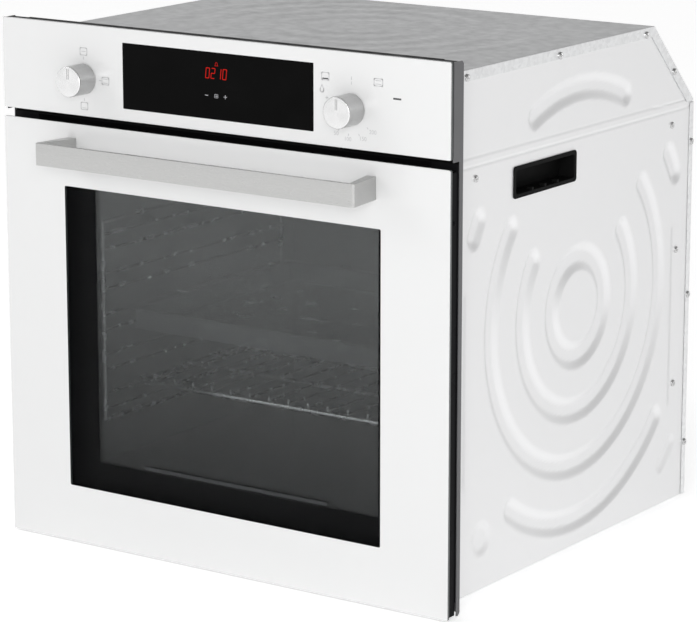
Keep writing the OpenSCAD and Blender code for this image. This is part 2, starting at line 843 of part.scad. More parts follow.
// Cheeks in the door, fixed to the pins that turn in the noses
module hinge_arms() {
    near = nose_t / 2 + 0.4;
    cheek_y = [7.5, 14.5];
    cheek_top = 92;
    color("silver") placed() both_sides() union() {
        for (x = [hinge_x - near - cheek_t, hinge_x + near]) {
            xrod([x, hinge_y, hinge_z], 4.6, cheek_t);
            box([x, cheek_y[0], hinge_z], [x + cheek_t, cheek_y[1], cheek_top]);
        }
        xrod([hinge_x - near - cheek_t, hinge_y, hinge_z], hinge_pin_r, 2 * (near + cheek_t));
        box([hinge_x - near - 1, cheek_y[0], 60], [hinge_x + near + 1, cheek_y[1], cheek_top]);
    }
}

// ---------- door ----------

module door_outer_glass() {
    color("white") placed() difference() {
        xz_plate(0, glass_t) translate([-front_x, door_z0]) square([front_w, door_top - door_z0]);
        for (x = [-1, 1]) yrod([x * handle_screw_x, -1, handle_z], 2.6, glass_t + 2);
    }
}

module door_middle_glass() {
    color([0.6, 0.65, 0.65, 0.4]) placed() box([-step_x + 4, 14, 44], [step_x - 4, 17, 458]);
}

module door_inner_glass() {
    color([0.3, 0.32, 0.32, 0.5]) placed() box([-step_x - 2, inner_y, 24], [step_x + 2, inner_y + 4, 478]);
}

// Folded side profile: front flange, outer wall, back wall, step and glass rest
module door_side_solid() {
    t = 1.5;
    out = front_x - 1.9;
    f = glass_t + 0.2;
    b = door_back;
    placed() difference() {
        linear_extrude(height = door_top - 4) polygon([
            [274, f], [out, f], [out, b], [step_x + t, b], [step_x + t, inner_y - 0.4],
            [step_x - 14, inner_y - 0.4], [step_x - 14, inner_y - 0.4 - t], [step_x, inner_y - 0.4 - t],
            [step_x, b - t], [out - t, b - t], [out - t, f + t], [274, f + t]]);
        // open bottom, and a slot for the hinge nose
        box([0, -1, -1], [400, 40, 4]);
        box([0, 5, -1], [step_x + t + 1, 40, 22]);
        box([hinge_x - 7, 7, -1], [hinge_x + 7, 40, 20]);
    }
}

module door_side_right() color([0.02, 0.02, 0.02]) door_side_solid();
module door_side_left() color([0.02, 0.02, 0.02]) mirror([1, 0, 0]) door_side_solid();

// Row of slots that air passes through
module vent_row(y0, y1, z) for (i = [-8 : 8]) box([i * 26 - 8, y0, z], [i * 26 + 8, y1, z + 12]);

// Top and bottom rails that hold the glasses
module door_rails() {
    t = 1.5;
    x = step_x - 15;
    f = glass_t + 0.2;
    r = inner_y - 0.4;
    foot = 22;
    color([0.02, 0.02, 0.02]) placed() {
        difference() {
            box([-x, f, rail_top - 18], [x, r, rail_top]);
            box([-x - 1, f + t, rail_top - 19], [x + 1, r - t, rail_top - t]);
            vent_row(f + 4, r - 4, rail_top - 10);
        }
        difference() {
            box([-x, f, foot], [x, r, foot + 20]);
            box([-x - 1, f + t, foot + t], [x + 1, r - t, foot + 23]);
            vent_row(f + 4, r - 4, foot - 2);
        }
    }
}

module handle_bar() {
    strip = 4.5;
    leg = 8;
    lean = 6;
    nose = 2;
    h = handle_half;
    color("silver") placed() difference() {
        translate([0, 0, handle_z - handle_h / 2]) linear_extrude(height = handle_h) polygon([
            [lean - h, -0.1], [-h, nose - handle_reach], [nose - h, -handle_reach],
            [h - nose, -handle_reach], [h, nose - handle_reach], [h - lean, -0.1],
            [h - lean - leg - 4, -0.1], [h - leg, strip - handle_reach], [leg - h, strip - handle_reach],
            [lean + leg + 4 - h, -0.1]]);
        for (x = [-1, 1]) yrod([x * handle_screw_x, -14, handle_z], 2, 20);
    }
}

module handle_screws() {
    color("silver") placed() for (x = [-1, 1]) union() {
        yrod([x * handle_screw_x, -13, handle_z], 1.95, glass_t + 15);
        yrod([x * handle_screw_x, glass_t + 0.2, handle_z], 4.5, 3);
    }
}

// Screws of the casing: through the cover's lips, and through the side panels
module case_screws() {
    cover = body_x + gap + sheet;
    head_r = 4;
    head_h = 2.6;
    color("silver") placed() both_sides() {
        for (p = concat(lip_screws(), rear_screws())) {
            xrod([cover + 0.1, p[0], p[1]], head_r, head_h);
            xrod([body_x - 3, p[0], p[1]], 1.7, 4.6);
        }
        for (p = panel_screws()) {
            raised = p[1] < strip_z[1] ? strip_rise : 0;
            xrod([body_x + raised + 0.1, p[0], p[1]], head_r, head_h);
            xrod([body_x - 3, p[0], p[1]], 1.7, 3.5 + raised);
        }
    }
}

// ---------- output ----------

side_panel_left();
side_panel_right();
carry_grip_left();
carry_grip_right();
top_cover();
rear_cover();
base_plate();
deck_plate();
front_frame();
side_trim_left();
side_trim_right();
cavity_liner();
insulation_wrap();
insulation_rear();
fan_baffle();
ring_heater();
fan_motor();
grill_element();
bottom_element();
door_seal();
side_rack_left();
side_rack_right();
lamp_holder();
lamp_bulb();
lamp_lens();
air_duct();
blower_housing();
blower_motor();
panel_glass();
panel_carrier();
display_lens();
timer_module();
switch_bracket();
selector_switch();
thermostat();
thermostat_probe();
terminal_block();
cable_inlet();
wire_harness();
hinge_case_left();
hinge_case_right();
hinge_springs();
case_screws();
convection_fan();
blower_rotor();
wire_shelf();
baking_tray();
knob_left();
selector_shaft();
knob_right();
thermostat_shaft();
door_outer_glass();
door_middle_glass();
door_inner_glass();
door_side_left();
door_side_right();
door_rails();
handle_bar();
handle_screws();
hinge_arms();
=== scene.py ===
import json
import math

import bmesh
import bpy
from mathutils import Euler, Matrix, Vector


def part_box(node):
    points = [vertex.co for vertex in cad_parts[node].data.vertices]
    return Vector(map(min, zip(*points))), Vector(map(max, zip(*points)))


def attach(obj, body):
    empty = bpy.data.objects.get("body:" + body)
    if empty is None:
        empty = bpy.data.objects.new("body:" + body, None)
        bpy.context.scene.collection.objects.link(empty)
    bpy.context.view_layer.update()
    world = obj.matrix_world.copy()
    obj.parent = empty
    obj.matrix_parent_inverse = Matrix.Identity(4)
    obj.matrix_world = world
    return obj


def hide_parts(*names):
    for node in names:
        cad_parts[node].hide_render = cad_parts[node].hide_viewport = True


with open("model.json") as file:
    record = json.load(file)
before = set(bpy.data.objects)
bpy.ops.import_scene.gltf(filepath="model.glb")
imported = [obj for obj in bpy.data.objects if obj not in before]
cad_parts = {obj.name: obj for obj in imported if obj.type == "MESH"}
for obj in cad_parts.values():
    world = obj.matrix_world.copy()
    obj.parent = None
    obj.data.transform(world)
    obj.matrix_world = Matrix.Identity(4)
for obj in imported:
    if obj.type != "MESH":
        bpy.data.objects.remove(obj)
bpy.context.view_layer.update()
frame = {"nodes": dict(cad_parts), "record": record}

# Shapes are drawn in millimetres, with Y counted from the front face of the glass.
MM = 0.001
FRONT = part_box("panel_glass")[0].y


def limits(node):
    """Lowest and highest corner of a CAD node in the drawing millimetres."""
    low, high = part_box(node)
    shift = Vector((0.0, FRONT, 0.0))
    return (low - shift) / MM, (high - shift) / MM


def middle(node):
    """Middle of a CAD node in the drawing millimetres."""
    low, high = limits(node)
    return (low + high) / 2


# ---------- shapes: (points, faces), and from sheet() also the points' normals ----------

def put(axis, a, b, along):
    """Point from the two coordinates across an axis and the one along it."""
    point = [a, b]
    point.insert(axis, along)
    return tuple(point)


def merge(shapes):
    """Several shapes as one."""
    points = []
    faces = []
    for shape_points, shape_faces in shapes:
        base = len(points)
        points += shape_points
        faces += [tuple(i + base for i in face) for face in shape_faces]
    return points, faces


def prism(outline, axis, low, high):
    """Outline across an axis, drawn out from low to high."""
    count = len(outline)
    points = [put(axis, a, b, low) for a, b in outline]
    points += [put(axis, a, b, high) for a, b in outline]
    faces = [tuple(range(count)), tuple(range(2 * count - 1, count - 1, -1))]
    for i in range(count):
        j = (i + 1) % count
        faces.append((i, j, j + count, i + count))
    return points, faces


def block(low, high):
    """Box between two corners."""
    outline = [(low[0], low[2]), (high[0], low[2]), (high[0], high[2]), (low[0], high[2])]
    return prism(outline, 1, low[1], high[1])


def loft(axis, loops):
    """Closed skin through a round of outlines with as many corners each; a loop is (outline, along)."""
    count = len(loops[0][0])
    points = []
    for outline, along in loops:
        points += [put(axis, a, b, along) for a, b in outline]
    faces = []
    for k in range(len(loops)):
        a = k * count
        b = (k + 1) % len(loops) * count
        for i in range(count):
            j = (i + 1) % count
            faces.append((i + a, j + a, j + b, i + b))
    return points, faces


def ring(outer, inner, axis, low, high):
    """Flat ring between two outlines."""
    return loft(axis, [(outer, low), (inner, low), (inner, high), (outer, high)])


def rounded(low, high, radius, steps=6):
    """Rectangle with round corners, as an outline."""
    outline = []
    corners = ((high[0], high[1], 0), (low[0], high[1], 1), (low[0], low[1], 2), (high[0], low[1], 3))
    for a, b, quarter in corners:
        centre_a = a - radius if a == high[0] else a + radius
        centre_b = b - radius if b == high[1] else b + radius
        for i in range(steps + 1):
            turn = math.radians(90 * quarter + 90 * i / steps)
            outline.append((centre_a + radius * math.cos(turn), centre_b + radius * math.sin(turn)))
    return outline


def pane(low, high, radius, inner):
    """Glass pane between two corners, with ground edges and an opening."""
    ground = 0.5
    outer = rounded((low.x, low.z), (high.x, high.z), radius)
    inset = rounded((low.x + ground, low.z + ground), (high.x - ground, high.z - ground), radius - ground)
    return loft(1, [(inset, low.y), (inner, low.y), (inner, high.y), (inset, high.y),
                    (outer, high.y - ground), (outer, low.y + ground)])


def lathe(profile, axis, centre, steps, relief=None):
    """Profile of (radius, along) pairs turned about an axis. Relief moves a point along the axis."""
    across = [i for i in range(3) if i != axis]
    points = []
    loops = []
    for radius, along in profile:
        loop = []
        for i in range(steps if radius > 0 else 1):
            turn = 2 * math.pi * i / steps
            a = radius * math.cos(turn)
            b = radius * math.sin(turn)
            sunk = relief(a, b) if relief else 0.0
            loop.append(len(points))
            points.append(put(axis, centre[across[0]] + a, centre[across[1]] + b,
                              centre[axis] + along + sunk))
        loops.append(loop)
    faces = []
    for first, second in zip(loops, loops[1:]):
        for i in range(steps):
            j = (i + 1) % steps
            if len(first) == 1:
                faces.append((first[0], second[j], second[i]))
            elif len(second) == 1:
                faces.append((first[i], first[j], second[0]))
            else:
                faces.append((first[i], first[j], second[j], second[i]))
    if len(loops[0]) > 1:
        faces.append(tuple(loops[0]))
    if len(loops[-1]) > 1:
        faces.append(tuple(reversed(loops[-1])))
    return points, faces


def ribbon(path, width, low, high, closed=False):
    """Flat line through the points of a path in the XZ plane."""
    pieces = []
    half = width / 2
    ends = path[1:] + path[:1] if closed else path[1:]
    for (x0, z0), (x1, z1) in zip(path, ends):
        length = math.hypot(x1 - x0, z1 - z0)
        along_x = half * (x1 - x0) / length
        along_z = half * (z1 - z0) / length
        pieces.append(prism([
            (x0 - along_x + along_z, z0 - along_z - along_x),
            (x1 + along_x + along_z, z1 + along_z - along_x),
            (x1 + along_x - along_z, z1 + along_z + along_x),
            (x0 - along_x - along_z, z0 - along_z + along_x),
        ], 1, low, high))
    return merge(pieces)


def spaced(stops, pitch):
    """Numbers through every stop, at most a pitch apart."""
    out = [stops[0]]
    for low, high in zip(stops, stops[1:]):
        count = max(1, math.ceil((high - low) / pitch))
        out += [low + (high - low) * i / count for i in range(1, count + 1)]
    return out


def sheet(columns, rows, place, thickness, holes=()):
    """Thin closed sheet on a grid. Place gives a point of the outer face and the way that it faces."""
    points = []
    normals = []
    for back in (0, 1):
        for v in rows:
            for u in columns:
                point, facing = place(u, v)
                points.append(tuple(Vector(point) - back * thickness * facing))
                normals.append(-facing if back else facing)
    wide = len(columns)
    layer = wide * len(rows)

    def solid(i, j):
        if not (0 <= i < wide - 1 and 0 <= j < len(rows) - 1):
            return False
        u = (columns[i] + columns[i + 1]) / 2
        v = (rows[j] + rows[j + 1]) / 2
        return not any(u0 < u < u1 and v0 < v < v1 for u0, v0, u1, v1 in holes)

    faces = []
    for j in range(len(rows) - 1):
        for i in range(wide - 1):
            if not solid(i, j):
                continue
            a = j * wide + i
            corners = (a, a + 1, a + 1 + wide, a + wide)
            faces.append(corners)
            faces.append(tuple(c + layer for c in reversed(corners)))
            beside = ((i, j - 1), (i + 1, j), (i, j + 1), (i - 1, j))
            for k, cell in enumerate(beside):
                if not solid(*cell):
                    b = corners[k]
                    c = corners[(k + 1) % 4]
                    faces.append((c, b, b + layer, c + layer))
    return points, faces, normals


def mirrored(shape):
    """The same shape on the other side."""
    out = [[(-x, y, z) for x, y, z in shape[0]], [tuple(reversed(face)) for face in shape[1]]]
    if len(shape) > 2:
        out.append([Vector((-n.x, n.y, n.z)) for n in shape[2]])
    return tuple(out)


def smooth(t):
    """Soft step from 0 to 1."""
    t = max(0.0, min(1.0, t))
    return t * t * (3 - 2 * t)


# ---------- pieces ----------

SHARP = math.radians(35)


def build(name, shape, body, material, replaces=(), bevel=0.0, edge=None):
    """Makes a piece from a shape in mm and hangs it on a CAD body."""
    points = [(x * MM, FRONT + y * MM, z * MM) for x, y, z in shape[0]]
    mesh = bpy.data.meshes.new(name)
    mesh.from_pydata(points, [], shape[1])
    work = bmesh.new()
    work.from_mesh(mesh)
    bmesh.ops.recalc_face_normals(work, faces=work.faces)
    work.to_mesh(mesh)
    work.free()
    mesh.materials.append(material)
    if edge is not None:
        mesh.materials.append(edge)
        for polygon in mesh.polygons:
            polygon.material_index = 1 if abs(polygon.normal.y) < 0.5 else 0
    mesh.shade_smooth()
    if len(shape) > 2:
        mesh.normals_split_custom_set_from_vertices([tuple(n) for n in shape[2]])
    else:
        mesh.set_sharp_from_angle(angle=SHARP)
    piece = bpy.data.objects.new(name, mesh)
    bpy.context.scene.collection.objects.link(piece)
    if bevel > 0:
        round_edges(piece, bevel)
    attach(piece, body)
    if replaces:
        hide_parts(*replaces)
    return piece


def round_edges(piece, width):
    """Rounds the sharp edges of a piece."""
    modifier = piece.modifiers.new("round_edges", "BEVEL")
    modifier.width = width * MM
    modifier.segments = 3
    modifier.limit_method = "ANGLE"
    modifier.angle_limit = SHARP
    modifier.harden_normals = True


# Width of the rounded edges of the CAD nodes that are shown as they are, in mm
SOFT_EDGES = {
    "side_trim_left": 0.35,
    "side_trim_right": 0.35,
    "panel_carrier": 0.35,
    "base_plate": 0.35,
    "cable_inlet": 0.35,
    "door_side_left": 0.3,
    "door_side_right": 0.3,
    "door_rails": 0.3,
    "front_frame": 0.3,
    "handle_bar": 0.8,
    "baking_tray": 0.5,
}


def soften(node, width):
    """Rounds the edges of a CAD node that is shown as it is."""
    piece = frame["nodes"][node]
    weld = piece.modifiers.new("join_corners", "WELD")
    weld.merge_threshold = 0.01 * MM
    round_edges(piece, width)


# ---------- materials ----------

def add(tree, kind, inputs=None, **settings):
    """Adds a shader node. An input is a plain value or another node's output."""
    node = tree.nodes.new(kind)
    for name, value in settings.items():
        setattr(node, name, value)
    for socket, value in (inputs or {}).items():
        if isinstance(value, bpy.types.NodeSocket):
            tree.links.new(value, node.inputs[socket])
        else:
            node.inputs[socket].default_value = value
    return node


def shader(name):
    """New empty material."""
    material = bpy.data.materials.new(name)
    material.use_nodes = True
    material.node_tree.nodes.clear()
    return material, material.node_tree


def close(tree, surface):
    """Joins a surface to the material's output."""
    add(tree, "ShaderNodeOutputMaterial", {"Surface": surface})


def noise(tree, scale, stretch=(1, 1, 1), detail=4.0):
    """Noise with so many grains to the metre, drawn out along an axis by stretch."""
    place = add(tree, "ShaderNodeTexCoord")
    mapped = add(tree, "ShaderNodeMapping", {"Vector": place.outputs["Object"], "Scale": stretch})
    return add(tree, "ShaderNodeTexNoise",
               {"Vector": mapped.outputs["Vector"], "Scale": scale, "Detail": detail}).outputs["Fac"]


def ranged(tree, value, low, high, start=0.3, end=0.7):
    """A pattern turned into numbers from low to high."""
    return add(tree, "ShaderNodeMapRange", {
        "Value": value, "From Min": start, "From Max": end, "To Min": low, "To Max": high,
    }).outputs["Result"]


def blended(tree, value, low, high):
    """A pattern turned into colours from low to high."""
    mix = add(tree, "ShaderNodeMix", {"Factor": ranged(tree, value, 0, 1)}, data_type="RGBA")
    mix.inputs["A"].default_value = (*low, 1)
    mix.inputs["B"].default_value = (*high, 1)
    return mix.outputs["Result"]


def bumped(tree, value, distance, strength=0.5):
    """A pattern turned into small hills so many mm high."""
    return add(tree, "ShaderNodeBump", {
        "Height": value, "Distance": distance * MM, "Strength": strength,
    }).outputs["Normal"]


def tint(colour, factor):
    """A colour made lighter or darker."""
    return tuple(min(1.0, c * factor) for c in colour)


def textured(name, colour, roughness, spread=0.06, rough_spread=0.2, grain=60.0,
             stretch=(1, 1, 1), bump=0.05, bump_grain=900.0, fixed=None):
    """Surface with slow changes of colour and gloss, and a fine relief."""
    material, tree = shader(name)
    slow = noise(tree, grain, stretch)
    fine = noise(tree, bump_grain, stretch, 2.0)
    inputs = {
        "Base Color": blended(tree, slow, tint(colour, 1 - spread), tint(colour, 1 + spread)),
        "Roughness": ranged(tree, slow, roughness * (1 - rough_spread), roughness * (1 + rough_spread)),
        "Normal": bumped(tree, fine, bump),
    }
    inputs.update(fixed or {})
    surface = add(tree, "ShaderNodeBsdfPrincipled", inputs)
    close(tree, surface.outputs["BSDF"])
    return material


def galvanised(name, colour, spangle=95.0):
    """Zinc coated sheet with faint spangle, so many flakes to the metre."""
    material, tree = shader(name)
    place = add(tree, "ShaderNodeTexCoord")
    cells = add(tree, "ShaderNodeTexVoronoi", {"Vector": place.outputs["Object"], "Scale": spangle})
    slow = noise(tree, 14.0)
    flakes = add(tree, "ShaderNodeRGBToBW", {"Color": cells.outputs["Color"]}).outputs["Val"]
    both = add(tree, "ShaderNodeMath", {0: flakes, 1: slow}, operation="ADD").outputs[0]
    base = blended(tree, ranged(tree, both, 0.3, 0.7, 0.5, 1.5), tint(colour, 0.93), tint(colour, 1.07))
    surface = add(tree, "ShaderNodeBsdfPrincipled", {
        "Base Color": base,
        "Metallic": 1.0,
        "Roughness": ranged(tree, cells.outputs["Distance"], 0.34, 0.44, 0.0, 1.0),
        "Normal": bumped(tree, noise(tree, 500.0, detail=2.0), 0.03),
    })
    close(tree, surface.outputs["BSDF"])
    return material


def brushed(name, colour, roughness, stretch, anisotropic, turned=False):
    """Metal with fine lines along one axis, or round the Y axis."""
    material, tree = shader(name)
    lines = noise(tree, 2500.0, stretch, 2.0)
    slow = noise(tree, 30.0, stretch)
    inputs = {
        "Base Color": blended(tree, slow, tint(colour, 0.97), tint(colour, 1.03)),
        "Metallic": 1.0,
        "Roughness": ranged(tree, lines, roughness * 0.8, roughness * 1.25),
        "Anisotropic": anisotropic,
        "Normal": bumped(tree, lines, 0.01, 0.3),
    }
    if turned:
        inputs["Tangent"] = add(tree, "ShaderNodeTangent", direction_type="RADIAL",
                                axis="Y").outputs["Tangent"]
        del inputs["Normal"]
    surface = add(tree, "ShaderNodeBsdfPrincipled", inputs)
    close(tree, surface.outputs["BSDF"])
    return material


def painted_reflection_coat(tree, surface, low, high):
    """A surface that also mirrors, by a share that grows with the height: painted reflection, brighter
    towards the top.
    """
    mirror = add(tree, "ShaderNodeBsdfGlossy", {"Color": (1, 1, 1, 1), "Roughness": 0.02})
    place = add(tree, "ShaderNodeTexCoord")
    height = add(tree, "ShaderNodeSeparateXYZ", {"Vector": place.outputs["Object"]}).outputs["Z"]
    share = ranged(tree, height, low, high, 0.08, 0.34)
    return add(tree, "ShaderNodeMixShader", {0: share, 1: surface, 2: mirror.outputs[0]}).outputs[0]


def glass(name, colour, ior, coat_with_painted_fade=None):
    """Clear or tinted glass that lets light through. The coat_with_painted_fade argument is its lowest and
    highest mirror share, a heat mirror coat whose share grows with the height as painted reflection.
    """
    material, tree = shader(name)
    faint = noise(tree, 6.0, detail=1.0)
    body = add(tree, "ShaderNodeBsdfPrincipled", {
        "Base Color": blended(tree, faint, tint(colour, 0.99), tint(colour, 1.01)),
        "Transmission Weight": 1.0,
        "Roughness": 0.0,
        "IOR": ior,
    })
    surface = body.outputs["BSDF"]
    if coat_with_painted_fade:
        surface = painted_reflection_coat(tree, surface, *coat_with_painted_fade)
    clear = add(tree, "ShaderNodeBsdfTransparent", {"Color": (*colour, 1)})
    path = add(tree, "ShaderNodeLightPath")
    seen = add(tree, "ShaderNodeMixShader", {
        0: path.outputs["Is Shadow Ray"], 1: surface, 2: clear.outputs[0]})
    close(tree, seen.outputs[0])
    return material


def speckled(name, colour, fleck, roughness):
    """Enamel with fine light flecks."""
    material, tree = shader(name)
    place = add(tree, "ShaderNodeTexCoord")
    dots = add(tree, "ShaderNodeTexVoronoi", {"Vector": place.outputs["Object"], "Scale": 420.0})
    amount = ranged(tree, dots.outputs["Distance"], 1.0, 0.0, 0.12, 0.2)
    mix = add(tree, "ShaderNodeMix", {"Factor": amount}, data_type="RGBA")
    mix.inputs["A"].default_value = (*colour, 1)
    mix.inputs["B"].default_value = (*fleck, 1)
    surface = add(tree, "ShaderNodeBsdfPrincipled", {
        "Base Color": mix.outputs["Result"],
        "Roughness": ranged(tree, noise(tree, 40.0), roughness * 0.8, roughness * 1.3),
        "Normal": bumped(tree, noise(tree, 160.0, detail=2.0), 0.05),
    })
    close(tree, surface.outputs["BSDF"])
    return material


def glowing(name, colour, strength):
    """Lit figures of the timer, a little uneven."""
    material, tree = shader(name)
    level = ranged(tree, noise(tree, 300.0), strength * 0.9, strength * 1.1)
    surface = add(tree, "ShaderNodeEmission", {"Color": (*colour, 1), "Strength": level})
    close(tree, surface.outputs[0])
    return material


METAL = {"Metallic": 1.0}
# Black surfaces reflect little at a flat angle, or their tops read as grey
FAINT_GLOSS = {"IOR": 1.1}
WHITE_GLASS = textured("white_glass", (0.755, 0.757, 0.757), roughness=0.04, spread=0.004,
                       rough_spread=0.3, grain=3.0, bump=0.004, bump_grain=40.0,
                       fixed={"Specular IOR Level": 0.3})
# Ground glass edges in their own grey-green, darkened further as painted shade of the gap beside the glass
GLASS_EDGE_AND_GAP_SHADE = textured("glass_edge_and_gap_shade", (0.10, 0.11, 0.11), roughness=0.12, spread=0.12, rough_spread=0.3,
                      grain=40.0, bump=0.02)
BLACK_PRINT = textured("black_print", (0.003, 0.003, 0.003), roughness=0.05, spread=0.2, rough_spread=0.3,
                       grain=20.0, bump=0.002, bump_grain=60.0, fixed=FAINT_GLOSS)
GREY_PRINT = textured("grey_print", (0.50, 0.50, 0.51), roughness=0.3, spread=0.03, rough_spread=0.2,
                      grain=200.0, bump=0.01)
# Dark print on the panel; also the dark strip round the knobs' pointers, painted shade of their grooves
DARK_PRINT_AND_SHADE = textured("dark_print_and_shade", (0.05, 0.05, 0.052), roughness=0.3, spread=0.06, rough_spread=0.2,
                      grain=200.0, bump=0.01)
PALE_MARK = textured("pale_mark", (0.42, 0.42, 0.44), roughness=0.3, spread=0.04, rough_spread=0.2,
                     grain=200.0, bump=0.01)
RED_FIGURES = glowing("red_figures", (1.0, 0.03, 0.02), strength=0.55)
WINDOW_GLASS = glass("window_glass", (0.61, 0.615, 0.615), ior=1.09)
# Heat mirror coat of the inner door glass; its mirror share grows from bottom to top, a painted reflection
PAINTED_REFLECTION_COAT_GLASS = glass("painted_reflection_coat_glass", (0.93, 0.94, 0.94), ior=1.12, coat_with_painted_fade=(0.035, 0.135))
PALE_LIP = galvanised("pale_lip", (0.80, 0.805, 0.81), spangle=260.0)
FACE_METAL = brushed("knob_face", (0.78, 0.78, 0.78), roughness=0.24, stretch=(1, 1, 1), anisotropic=0.85,
                     turned=True)
# The knobs' sides are the same metal as their faces, drawn darker: painted shade for the dark surroundings
# that they reflect
SHADED_KNOB_SIDE = brushed("knob_side_painted_shade", (0.52, 0.52, 0.52), roughness=0.3, stretch=(1, 1, 1), anisotropic=0.6,
                    turned=True)

# Material of each slot of the record
MATERIALS = {
    "side_steel": textured("side_steel", (0.87, 0.87, 0.875), roughness=0.36, spread=0.012,
                           rough_spread=0.12, grain=8.0, bump=0.02, bump_grain=700.0,
                           fixed={"Metallic": 0.35}),
    "galvanised": galvanised("galvanised", (0.56, 0.565, 0.57)),
    "black_enamel": textured("black_enamel", (0.010, 0.010, 0.011), roughness=0.16, spread=0.15,
                             rough_spread=0.3, grain=30.0, fixed=FAINT_GLOSS),
    "grey_enamel": speckled("grey_enamel", (0.045, 0.045, 0.048), fleck=(0.20, 0.20, 0.21), roughness=0.2),
    "tray_enamel": speckled("tray_enamel", (0.07, 0.07, 0.073), fleck=(0.2, 0.2, 0.21), roughness=0.22),
    "trim_grey": textured("trim_grey", (0.125, 0.125, 0.13), roughness=0.36, spread=0.06, rough_spread=0.2,
                          grain=25.0, bump=0.02, fixed={"Specular IOR Level": 0.3}),
    "black_steel": textured("black_steel", (0.008, 0.008, 0.009), roughness=0.32, spread=0.15,
                            rough_spread=0.25, grain=30.0, fixed=FAINT_GLOSS),
    "white_glass": WHITE_GLASS,
    "clear_glass": glass("clear_glass", (0.93, 0.94, 0.94), ior=1.1),
    "smoked_window": textured("smoked_window", (0.01, 0.01, 0.012), roughness=0.06, spread=0.2,
                              rough_spread=0.3, grain=20.0, bump=0.005, fixed=FAINT_GLOSS),
    "handle_steel": brushed("handle_steel", (0.50, 0.50, 0.495), roughness=0.30, stretch=(0.02, 1, 1),
                            anisotropic=0.5),
    "knob_aluminium": FACE_METAL,
    "black_plastic": textured("black_plastic", (0.009, 0.009, 0.009), roughness=0.5, spread=0.15,
                              rough_spread=0.2, grain=60.0, bump=0.08, fixed=FAINT_GLOSS),
    "chrome_wire": textured("chrome_wire", (0.82, 0.82, 0.83), roughness=0.24, spread=0.04,
                            rough_spread=0.4, grain=60.0, bump=0.01, fixed=METAL),
    "silicone": textured("silicone", (0.05, 0.05, 0.05), roughness=0.6, spread=0.15, rough_spread=0.2,
                         grain=60.0, bump=0.1),
    "glass_wool": textured("glass_wool", (0.72, 0.66, 0.42), roughness=0.95, spread=0.2, rough_spread=0.05,
                           grain=120.0, stretch=(1, 1, 0.2), bump=1.5, bump_grain=300.0),
    "heater_tube": textured("heater_tube", (0.12, 0.11, 0.105), roughness=0.5, spread=0.25,
                            rough_spread=0.25, grain=80.0, bump=0.05, fixed=METAL),
    "motor_steel": textured("motor_steel", (0.42, 0.42, 0.43), roughness=0.4, spread=0.1, rough_spread=0.2,
                            grain=80.0, stretch=(1, 12, 1), bump=0.1, fixed=METAL),
    "fan_steel": brushed("fan_steel", (0.66, 0.66, 0.66), roughness=0.35, stretch=(1, 1, 1),
                         anisotropic=0.4, turned=True),
    "ceramic": textured("ceramic", (0.82, 0.81, 0.77), roughness=0.2, spread=0.03, rough_spread=0.3,
                        grain=60.0, bump=0.05),
    "lamp_glass": glass("lamp_glass", (0.95, 0.96, 0.97), ior=1.3),
    "circuit_board": textured("circuit_board", (0.03, 0.16, 0.07), roughness=0.3, spread=0.25,
                              rough_spread=0.2, grain=250.0, bump=0.05),
    "switch_body": textured("switch_body", (0.78, 0.78, 0.75), roughness=0.45, spread=0.04,
                            rough_spread=0.2, grain=90.0, bump=0.06),
    "copper_tube": textured("copper_tube", (0.70, 0.38, 0.24), roughness=0.28, spread=0.12,
                            rough_spread=0.3, grain=90.0, bump=0.02, fixed=METAL),
    "wire_sleeve": textured("wire_sleeve", (0.42, 0.08, 0.05), roughness=0.7, spread=0.15,
                            rough_spread=0.1, grain=150.0, bump=0.3, bump_grain=1500.0),
    "screw_steel": textured("screw_steel", (0.60, 0.60, 0.60), roughness=0.28, spread=0.08,
                            rough_spread=0.3, grain=200.0, bump=0.02, fixed=METAL),
}


def paint_nodes():
    """Gives every CAD node the material of its slot; the inner door glass has a heat mirror coat whose
    mirror share grows with the height, a painted reflection.
    """
    for part in frame["record"]["subparts"]:
        mesh = frame["nodes"][part["node"]].data
        mesh.materials.clear()
        inner_glass = part["node"] == "door_inner_glass"
        mesh.materials.append(PAINTED_REFLECTION_COAT_GLASS if inner_glass else MATERIALS[part["material_slot"]])


# ---------- casing ----------

BODY_X = 277.0
# Outer face of the covers' lips, which lie on the side panels
LIP_FACE = BODY_X + 1.3
SHEET = 1.0
# Middle of the pressed rings, their depth, and the width of their sloping walls
RING_Y = 295.0
RING_Z = 284.0
BAND_DEPTH = 4.2
WALL = 12.0

# Pressed bands of the side panels: inner and outer radius, first and last angle from +Y towards +Z, depth
BANDS = [
    (39, 73, 0, 360, BAND_DEPTH),
    (101, 134, -223, 45, BAND_DEPTH),
    (165, 197, -223, 45, BAND_DEPTH),
    (229, 261, -128, -39, BAND_DEPTH),
    (229, 261, -216, -204, BAND_DEPTH),
    (229, 261, 25, 39, BAND_DEPTH),
    (229, 261, 63, 117, BAND_DEPTH),
    (288, 312, -52, -41, 2.2),
]
# Round dimple: its middle, radius and depth
DIMPLE = (97.0, 65.0, 22.0, 2.4)
# Two scored lines along the panel: heights, half width and depth
CREASES = (475.0, 484.0)
CREASE_REACH = 2.2
CREASE_DEPTH = 0.42
# Raised strips behind the front and before the back
STRIPS_Y = ((60.0, 81.5), (503.0, 524.5))
STRIPS_Z = (125.0, 337.0)
STRIP_RISE = 1.2
STRIP_WALL = 1.6
# Hole for the carry grip
GRIP_Y = (157.0, 281.0)
GRIP_Z = (430.0, 459.0)
# Screws through the covers' lips and through the panel alone, as (y, z)
LIP_SCREWS = [(60, 570), (246, 570), (434, 570), (500, 520), (544, 433), (544, 251), (544, 72)]
PANEL_SCREWS = [(80, 461), (499, 458), (513, 310), (513, 150)]


